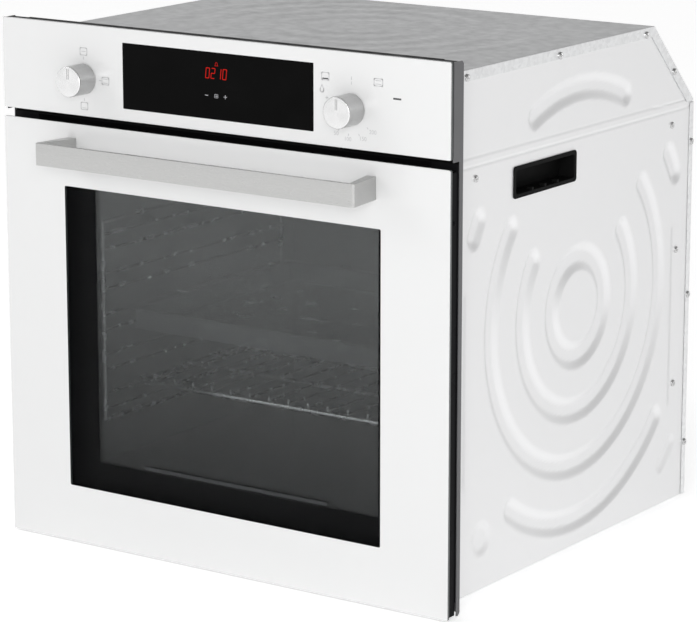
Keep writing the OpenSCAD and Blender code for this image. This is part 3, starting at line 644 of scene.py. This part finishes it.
def from_arc(y, z, radius, start, end):
    """Distance from a point to an arc about the middle of the pressed rings."""
    turn = (math.degrees(math.atan2(z - RING_Z, y - RING_Y)) - start) % 360
    if turn <= end - start:
        return abs(math.hypot(y - RING_Y, z - RING_Z) - radius)
    ends = []
    for angle in (math.radians(start), math.radians(end)):
        ends.append(math.hypot(y - RING_Y - radius * math.cos(angle),
                               z - RING_Z - radius * math.sin(angle)))
    return min(ends)


def rise(y, z):
    """How far the face of a side panel stands out of its plane."""
    deep = 0.0
    for inner, outer, start, end, depth in BANDS:
        half = (outer - inner) / 2
        radius = inner + half
        trim = 0 if end - start >= 360 else math.degrees(half / radius)
        away = from_arc(y, z, radius, start + trim, end - trim)
        deep = max(deep, depth * smooth((half - away) / WALL))
    y0, z0, reach, depth = DIMPLE
    deep = max(deep, depth * smooth((reach - math.hypot(y - y0, z - z0)) / WALL))
    for crease in CREASES:
        deep = max(deep, CREASE_DEPTH * smooth(1 - abs(z - crease) / CREASE_REACH))
    up = 0.0
    for low, high in STRIPS_Y:
        inside = min(y - low, high - y, z - STRIPS_Z[0], STRIPS_Z[1] - z)
        up = max(up, STRIP_RISE * smooth(inside / STRIP_WALL + 0.5))
    return up - deep


def side_panels():
    """Pressed side panels with rings, strips, creases and the hole for the grip."""
    low, high = limits("side_panel_right")
    bend = limits("rear_cover")[1].z - 1.3
    slope_start = high.y - (high.z - bend - 3.3)
    probe = 0.3
    grid = 2.7

    def place(y, z):
        top = high.z - max(0.0, y - slope_start)
        if z > bend:
            z = bend + (z - bend) * (top - bend) / (high.z - bend)
        out = rise(y, z)
        facing = Vector((1.0, (out - rise(y + probe, z)) / probe, (out - rise(y, z + probe)) / probe))
        return (BODY_X + out, y, z), facing.normalized()

    columns = spaced([low.y, GRIP_Y[0], GRIP_Y[1], slope_start, high.y], grid)
    rows = spaced([low.z, GRIP_Z[0], GRIP_Z[1], bend, high.z], grid)
    hole = (GRIP_Y[0], GRIP_Z[0], GRIP_Y[1], GRIP_Z[1])
    right = sheet(columns, rows, place, SHEET, [hole])
    steel = MATERIALS["side_steel"]
    build("side_sheet_right", right, "oven_body", steel, ["side_panel_right"])
    build("side_sheet_left", mirrored(right), "oven_body", steel, ["side_panel_left"])


def carry_grips():
    """Plastic cups set in the side panels, with three ribs on the lower edge."""
    low, high = limits("carry_grip_right")
    wall = 1.5
    rim = 3.0
    seat = BODY_X + 0.3

    def inset(distance, radius):
        return rounded((low.y + distance, low.z + distance), (high.y - distance, high.z - distance), radius)

    outer = inset(0, 4)
    mouth = inset(rim + wall, 3)
    cup = inset(rim + 0.3, 3.5)
    parts = [
        ring(outer, mouth, 0, seat, high.x),
        ring(cup, mouth, 0, low.x + wall, seat),
        prism(cup, 0, low.x, low.x + wall),
    ]
    edge = low.z + rim + wall
    for shift in (-26, 0, 26):
        mid = (low.y + high.y) / 2 + shift
        parts.append(block((high.x - 7, mid - 2, edge - 0.2), (high.x - 0.2, mid + 2, edge + 3.2)))
    shape = merge(parts)
    plastic = MATERIALS["black_plastic"]
    build("grip_right", shape, "oven_body", plastic, ["carry_grip_right"], 0.4)
    build("grip_left", mirrored(shape), "oven_body", plastic, ["carry_grip_left"], 0.4)


def screw(x, y, z, side, radius=4.0, height=2.4):
    """Pan head with a cross recess, facing +X or -X."""
    recess = 0.8
    arm_reach = 0.62 * radius
    arm_half = 0.75

    def cross(a, b):
        near = max(abs(a), abs(b))
        arm = min(abs(a), abs(b))
        return -side * recess * smooth((arm_reach - near) / 0.5) * smooth((arm_half - arm) / 0.35)

    profile = [(0, side * height)]
    for share in (0.1, 0.2, 0.3, 0.4, 0.5, 0.6, 0.7, 0.8, 0.88, 0.95, 1.0):
        dome = math.sqrt(1 - (0.94 * share) ** 2)
        profile.append((radius * share, side * height * (0.25 + 0.75 * dome)))
    profile.append((radius, 0))
    return lathe(profile, 0, (x, y, z), 32, cross)


def casing_screws():
    """Screws of the casing on both sides, and one in the edge of each door side."""
    heads = [screw(LIP_FACE, y, z, 1) for y, z in LIP_SCREWS]
    for y, z in PANEL_SCREWS:
        raised = STRIP_RISE if z < STRIPS_Z[1] else 0
        heads.append(screw(BODY_X + raised, y, z, 1))
    shape = merge(heads)
    shape = merge([shape, mirrored(shape)])
    build("casing_screw_heads", shape, "oven_body", MATERIALS["screw_steel"],
          ["case_screws"])
    side = limits("door_side_right")
    below_top = 57
    edge = screw(side[1].x - 0.1, 10.5, limits("door_outer_glass")[1].z - below_top, 1, radius=2.6,
                 height=1.2)
    shape = merge([edge, mirrored(edge)])
    build("door_side_screw_heads", shape, "door", MATERIALS["black_steel"])


def top_cover():
    """Top sheet with faint rings, bent down to the sloping back, with lips at both sides."""
    low, high = limits("top_cover")
    slope_end = limits("rear_cover")[1].z + 2
    drop = high.z - slope_end - 2
    run_y = high.y - drop
    flat = run_y - low.y
    lip = high.x - SHEET
    lip_depth = 12
    grid = 4.5
    ring_y = low.y + 0.55 * flat
    ring_height = 0.25
    wave = 2 * math.pi / 44

    def place(x, along):
        if along > flat:
            down = (along - flat) / math.sqrt(2)
            return (x, run_y + down, high.z - down), Vector((0, 1, 1)).normalized()
        y = low.y + along
        away = math.hypot(x, y - ring_y)
        fade = smooth((250 - away) / 30) * smooth((away - 30) / 20)
        fade *= smooth((flat - along) / 25)
        fade *= smooth(along / 25)
        height = ring_height * fade * (math.cos(away * wave) - 1)
        tilt = ring_height * fade * wave * math.sin(away * wave)
        facing = Vector((tilt * x / max(away, 1), tilt * (y - ring_y) / max(away, 1), 1))
        return (x, y, high.z + height), facing.normalized()

    columns = spaced([-lip, lip], grid)
    rows = spaced([0, flat, flat + drop * math.sqrt(2)], grid)
    metal = MATERIALS["galvanised"]
    build("top_sheet", sheet(columns, rows, place, SHEET), "oven_body", metal, ["top_cover"])
    side = prism([
        (low.y, high.z - lip_depth), (run_y - 5, high.z - lip_depth), (high.y - 14, low.z + 0.7),
        (high.y, low.z + 0.7), (high.y, high.z - drop), (run_y, high.z), (low.y, high.z),
    ], 0, lip, high.x)
    build("top_lips", merge([side, mirrored(side)]), "oven_body", PALE_LIP, bevel=0.35)


def rear_cover():
    """Rear sheet with hooded louvres, a hole for the cable bush and lips at both sides."""
    low, high = limits("rear_cover")
    lip = high.x - SHEET
    bush = middle("cable_inlet")
    hole = 9
    face = limits("cable_inlet")[1].y - 2
    half = 60.0
    pitch = 14.0
    mouth = 2
    hood_height = 8
    hood_depth = 1.9
    fan_z = middle("fan_baffle").z
    slots = [fan_z + pitch * i for i in range(-4, 5)]
    probe = 0.3

    def hood(x, z):
        out = 0.0
        for slot in slots:
            up = z - (slot + mouth)
            if -0.01 <= up < hood_height:
                out = max(out, hood_depth * smooth((half - abs(x)) / 5) * smooth(1 - up / hood_height))
        return out

    def place(x, z):
        out = hood(x, z)
        facing = Vector(((out - hood(x + probe, z)) / probe, 1.0, (out - hood(x, z + probe)) / probe))
        return (x, face + out, z), facing.normalized()

    stops = [low.z]
    for slot in slots:
        stops += [slot - mouth, slot + mouth]
    stops += [bush.z - hole, bush.z + hole, high.z]
    columns = spaced([-lip, -half, half, bush.x - hole, bush.x + hole, lip], 4.0)
    rows = spaced(stops, 2.5)
    holes = [(-half + 2, slot - mouth, half - 2, slot + mouth) for slot in slots]
    holes.append((bush.x - hole, bush.z - hole, bush.x + hole, bush.z + hole))
    metal = MATERIALS["galvanised"]
    shape = sheet(columns, rows, place, SHEET, holes)
    build("rear_sheet", shape, "oven_body", metal, ["rear_cover"])
    side = block((lip, low.y, low.z), (high.x, face, high.z))
    build("rear_lips", merge([side, mirrored(side)]), "oven_body", PALE_LIP, bevel=0.35)


# ---------- front ----------

def gap_shields():
    """Black strips that close the slot under the panel, and a black edge round the air duct's mouth that is
    painted shade over the duct's galvanised rim.
    """
    low, high = limits("air_duct")
    wall = limits("side_trim_right")[1].x - 1.4
    sunk = limits("front_frame")[0].y + 2.8
    strip = block((high.x + 1, sunk, low.z - 1), (wall, sunk + 1.5, limits("panel_carrier")[0].z))
    # Black ring round the duct's mouth: painted shade where the duct's inside is dark
    rim = 1.2
    outer = rounded((low.x - 0.8, low.z - 0.3), (high.x + 0.8, high.z + 0.6), 1)
    inner = rounded((low.x + rim, low.z + rim), (high.x - rim, high.z - rim), 1)
    mouth = ring(outer, inner, 1, low.y - 1.1, low.y - 0.05)
    build("gap_shields", merge([strip, mirrored(strip), mouth]), "oven_body",
          MATERIALS["black_plastic"])


# Thickness of the printed marks, and the black display area
INK = 0.03
DISPLAY_X = 127.0
DISPLAY_Z = (507.5, 580.0)


def panel():
    """Panel glass, painted white behind, with a black display area."""
    low, high = limits("panel_glass")
    inner = rounded((-DISPLAY_X, DISPLAY_Z[0]), (DISPLAY_X, DISPLAY_Z[1]), 0.8)
    build("panel_white", pane(low, high, 1.5, inner), "oven_body", WHITE_GLASS,
          ["panel_glass"], edge=GLASS_EDGE_AND_GAP_SHADE)
    gap = 0.02
    inner = rounded((gap - DISPLAY_X, DISPLAY_Z[0] + gap), (DISPLAY_X - gap, DISPLAY_Z[1] - gap), 0.8)
    build("display_area", prism(inner, 1, low.y, high.y), "oven_body", BLACK_PRINT)


def ink(name, shapes, material):
    """Flat marks on the panel glass."""
    return build(name, merge(shapes), "oven_body", material)


def line(path, width=0.8, closed=False):
    """Printed line on the glass."""
    return ribbon(path, width, -INK, -0.002, closed)


def box_icon(x, z, wide, tall):
    """Outline of an oven cavity."""
    return line(rounded((x - wide / 2, z - tall / 2), (x + wide / 2, z + tall / 2), 1.2, 2), 0.8, True)


def mode_marks():
    """Marks round the left knob: three cavity signs, each with a tick."""
    knob = middle("knob_left")
    away = 30.2
    near = away - 8.5
    far = near + 2.6
    half = 2.6
    fine = 0.7
    marks = []
    for dx, dz in ((0, 1), (1, 0), (0, -1)):
        marks.append(box_icon(knob.x + away * dx, knob.z + away * dz, 9.5, 8))
        marks.append(line([(knob.x + near * dx, knob.z + near * dz),
                           (knob.x + far * dx, knob.z + far * dz)]))
    top = knob.z + away
    marks.append(line([(knob.x - half, top), (knob.x + half, top)], fine))
    right = knob.x + away
    for dz in (-2.2, 2.2):
        marks.append(line([(right - half, knob.z + dz), (right + half, knob.z + dz)], fine))
    bottom = knob.z - away - 2.2
    marks.append(line([(knob.x - half, bottom), (knob.x + half, bottom)], fine))
    ink("mode_marks", marks, GREY_PRINT)


# Numbers of the right knob's dial with their places about its middle, and the start of each tick
DIAL_NUMBERS = [("50", -19.3, -26.9), ("100", -4.7, -31.7), ("150", 14.4, -29.7), ("200", 26.8, -21.6)]
DIAL_TICKS = [(-15.7, -22.4), (-3.7, -26.1), (9.3, -25.2), (19.6, -17.4)]


def heat_marks():
    """Marks round the right knob: signs for its functions, and numbers with ticks."""
    knob = middle("knob_right")
    x = knob.x
    z = knob.z
    marks = [
        box_icon(x - 33, z + 31.8, 9.4, 8),
        box_icon(x + 33.6, z + 31.2, 10.8, 7.6),
        line([(x + 30.4, z + 33), (x + 36.8, z + 33)], 0.7),
        line([(x + 30.4, z + 29.4), (x + 36.8, z + 29.4)], 0.7),
        line([(x, z + 31.2), (x, z + 34)]),
        line([(x, z + 26.2), (x, z + 28.8)]),
        line([(x - 32.6, z + 9.5), (x - 29.4, z + 9.5)], 0.7),
        line([(x - 31, z + 7.9), (x - 31, z + 11.1)], 0.7),
    ]
    drop = [(x - 37.3 + 2.4 * math.sin(math.radians(a)), z + 17.2 - 2.4 * math.cos(math.radians(a)))
            for a in range(-120, 121, 20)]
    marks.append(line(drop + [(x - 37.3, z + 22.4)], 0.7, True))
    for dx, dz in DIAL_TICKS:
        grown = 1 + 1.6 / math.hypot(dx, dz)
        marks.append(line([(x + dx, z + dz), (x + dx * grown, z + dz * grown)]))
    ink("heat_marks", marks, GREY_PRINT)
    dark = [
        line([(x - 36, z + 29.4), (x - 30, z + 29.4)], 1.4),
        line([(x + 53, z + 16.1), (x + 61, z + 16.1)], 1.9),
    ]
    ink("dark_marks", dark, DARK_PRINT_AND_SHADE)
    for text, dx, dz in DIAL_NUMBERS:
        number("number_" + text, text, x + dx, z + dz, 6.2)


def number(name, text, x, z, size):
    """A number of the dial, printed on the glass."""
    curve = bpy.data.curves.new(name + "_line", "FONT")
    curve.body = text
    curve.size = size * MM
    curve.align_x = "CENTER"
    curve.align_y = "CENTER"
    curve.extrude = INK / 2 * MM
    writing = bpy.data.objects.new(name + "_line", curve)
    mesh = bpy.data.meshes.new_from_object(writing)
    bpy.data.objects.remove(writing)
    mesh.name = name
    place = Matrix.Translation((x * MM, FRONT - (INK / 2 + 0.002) * MM, z * MM))
    mesh.transform(place @ Matrix.Rotation(math.pi / 2, 4, "X"))
    mesh.materials.clear()
    mesh.materials.append(GREY_PRINT)
    piece = bpy.data.objects.new(name, mesh)
    bpy.context.scene.collection.objects.link(piece)
    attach(piece, "oven_body")


# Bars of a lit figure, lettered from the top clockwise with g in the middle
BARS = {
    "a": ((0, 1), (1, 1)), "b": ((1, 1), (1, 0.5)), "c": ((1, 0.5), (1, 0)), "d": ((0, 0), (1, 0)),
    "e": ((0, 0.5), (0, 0)), "f": ((0, 1), (0, 0.5)), "g": ((0, 0.5), (1, 0.5)),
}
FIGURES = {"0": "abcdef", "1": "bc", "2": "abged"}


def timer_figures():
    """Lit time, a small bell above it, and the three touch signs below."""
    tall = 10.8
    z = DISPLAY_Z[1] - 17.4 - tall
    wide = 4.6
    lean = 1.1
    bars = []
    for figure, x in (("0", -14.2), ("2", -7.0), ("1", 1.0), ("0", 8.4)):
        for name in FIGURES[figure]:
            (x0, z0), (x1, z1) = BARS[name]
            gap_x = 0.55 * (x1 - x0)
            gap_z = 0.9 * (z1 - z0)
            bars.append(line([(x + wide * x0 + gap_x + lean * z0, z + tall * z0 + gap_z),
                              (x + wide * x1 - gap_x + lean * z1, z + tall * z1 - gap_z)], 0.95))
    bell = [(-2.0, 0), (-1.5, 0.8), (-1.3, 2.4), (-0.7, 3.4), (0, 3.7),
            (0.7, 3.4), (1.3, 2.4), (1.5, 0.8), (2.0, 0)]
    bars.append(line([(a + 0.4, b + z + tall + 3) for a, b in bell], 0.5, True))
    ink("timer_figures", bars, RED_FIGURES)
    base = DISPLAY_Z[0] + 25.5
    low = base - 1.8
    high = base + 1.8
    signs = [
        line([(-14.8, base), (-11.2, base)], 0.7),
        line([(10.2, base), (13.8, base)], 0.7),
        line([(12, low), (12, high)], 0.7),
        line([(-2.2, low), (2.2, low), (2.2, high), (-2.2, high)], 0.5, True),
        line([(0, low), (0, high)], 0.5),
        line([(-2.2, base), (2.2, base)], 0.5),
    ]
    ink("touch_signs", signs, PALE_MARK)


def knob_line(node, body, part, half, lift, material):
    """Line from near the middle of a knob's face to its edge."""
    low, high = limits(node)
    x = middle(node).x
    z = middle(node).z
    reach = high.x - x - 1.2
    mark = rounded((x - half, z + 1.5 + half), (x + half, z + reach - half), 0.5, 3)
    build(node + "_" + part, prism(mark, 1, low.y - lift, low.y + 0.6), body, material)


def knobs():
    """Turned knobs with a short pointer line."""
    round_off = 1.5
    for node, body in (("knob_left", "selector_knob"), ("knob_right", "thermostat_knob")):
        low, high = limits(node)
        centre = middle(node)
        radius = (high.x - low.x) / 2
        shoulder = radius - round_off
        profile = [(0, low.y), (radius * 0.3, low.y), (radius * 0.6, low.y), (shoulder, low.y)]
        for i in range(1, 7):
            turn = math.radians(15 * i)
            profile.append((shoulder + round_off * math.sin(turn),
                            low.y + round_off - round_off * math.cos(turn)))
        profile += [(radius, low.y + 9), (radius, low.y + 18), (radius, high.y - 0.6),
                    (radius - 0.6, high.y), (0, high.y)]
        shape = lathe(profile, 1, (centre.x, 0, centre.z), 96)
        # Side faces get the darker copy of the knob metal, painted shade
        build(node + "_turned", shape, body, FACE_METAL, [node], edge=SHADED_KNOB_SIDE)
        # Dark strip round the pointer: painted shade in the pointer's groove
        knob_line(node, body, "groove", 1.3, 0.02, DARK_PRINT_AND_SHADE)
        knob_line(node, body, "pointer", 0.75, 0.05, FACE_METAL)


# ---------- door ----------

# Window in the outer glass's white paint, and the clear area in the inner glass's black print
WINDOW_X = 212.0
WINDOW_Z = (68.0, 413.0)
CLEAR_X = 191.0
CLEAR_Z = 91.0


def door_glasses():
    """Outer glass with a window in its white paint, and the inner glass's black print and rest."""
    low, high = limits("door_outer_glass")
    inner = rounded((-WINDOW_X, WINDOW_Z[0]), (WINDOW_X, WINDOW_Z[1]), 2)
    build("door_white", pane(low, high, 2, inner), "door", WHITE_GLASS,
          ["door_outer_glass"], edge=GLASS_EDGE_AND_GAP_SHADE)
    gap = 0.05
    window = rounded((gap - WINDOW_X, WINDOW_Z[0] + gap), (WINDOW_X - gap, WINDOW_Z[1] - gap), 2)
    build("door_window", prism(window, 1, low.y, high.y), "door", WINDOW_GLASS,
          ["door_outer_glass"])
    low, high = limits("door_inner_glass")
    outer = rounded((low.x, low.z), (high.x, high.z), 1)
    inner = rounded((-CLEAR_X, CLEAR_Z), (CLEAR_X, high.z - 30), 1)
    build("inner_print", ring(outer, inner, 1, low.y - 0.2, low.y - 0.02), "door",
          MATERIALS["black_steel"])
    rest = block((-125, low.y - 1.4, CLEAR_Z + 2), (125, low.y - 0.2, CLEAR_Z + 6))
    build("inner_glass_rest", rest, "door", MATERIALS["trim_grey"], bevel=0.3)


# ---------- setting ----------

def floor():
    """Wide pale floor that reads as a white ground."""
    material, tree = shader("floor")
    faint = noise(tree, 0.8)
    surface = add(tree, "ShaderNodeBsdfPrincipled", {
        "Base Color": blended(tree, faint, (0.88, 0.88, 0.88), (0.9, 0.9, 0.9)),
        "Roughness": 0.9,
        "Emission Color": (1, 1, 1, 1),
        "Emission Strength": 0.58,
    })
    close(tree, surface.outputs["BSDF"])
    mesh = bpy.data.meshes.new("floor")
    reach = 30.0
    mesh.from_pydata([(-reach, -reach, 0), (reach, -reach, 0), (reach, reach, 0), (-reach, reach, 0)],
                     [], [(0, 1, 2, 3)])
    mesh.materials.append(material)
    ground = bpy.data.objects.new("floor", mesh)
    bpy.context.scene.collection.objects.link(ground)


def area_light(name, spot, target, size, power):
    """Large soft light that points at a target."""
    data = bpy.data.lights.new(name, "AREA")
    data.shape = "SQUARE"
    data.size = size
    data.energy = power
    lamp = bpy.data.objects.new(name, data)
    lamp.location = spot
    lamp.rotation_euler = (Vector(target) - Vector(spot)).to_track_quat("-Z", "Y").to_euler()
    bpy.context.scene.collection.objects.link(lamp)


def studio():
    """White surroundings, dimmer overhead and on the right, with soft lights at the left and the front."""
    world = bpy.data.worlds.new("studio")
    bpy.context.scene.world = world
    world.use_nodes = True
    tree = world.node_tree
    place = add(tree, "ShaderNodeTexCoord")
    way = add(tree, "ShaderNodeSeparateXYZ", {"Vector": place.outputs["Generated"]})
    overhead = ranged(tree, way.outputs["Z"], 1.0, 0.42, 0.16, 0.4)
    right = ranged(tree, way.outputs["X"], 1.0, 0.45, 0.2, 0.75)
    level = add(tree, "ShaderNodeMath", {0: overhead, 1: right}, operation="MULTIPLY").outputs[0]
    tree.links.new(level, tree.nodes["Background"].inputs["Strength"])
    tree.nodes["Background"].inputs["Color"].default_value = (1, 1, 1, 1)
    area_light("key", (-3.0, -2.6, 2.6), target=(0, 0, 0.3), size=1.6, power=22.0)
    area_light("front", (1.9, -3.0, 1.3), target=(0, 0, 0.3), size=1.2, power=40.0)
    bpy.context.scene.view_settings.view_transform = "Standard"


def camera():
    """The view of the photo."""
    data = bpy.data.cameras.new("camera")
    data.lens = 165.39
    data.sensor_width = 36.0
    view = bpy.data.objects.new("camera", data)
    view.location = (2.036, -2.944, 1.084)
    view.rotation_euler = Euler((math.radians(76.888), 0, math.radians(34.69)))
    bpy.context.scene.collection.objects.link(view)
    bpy.context.scene.camera = view


paint_nodes()
side_panels()
carry_grips()
casing_screws()
top_cover()
rear_cover()
panel()
mode_marks()
heat_marks()
timer_figures()
knobs()
gap_shields()
door_glasses()
for node, width in SOFT_EDGES.items():
    soften(node, width)
floor()
studio()
camera()
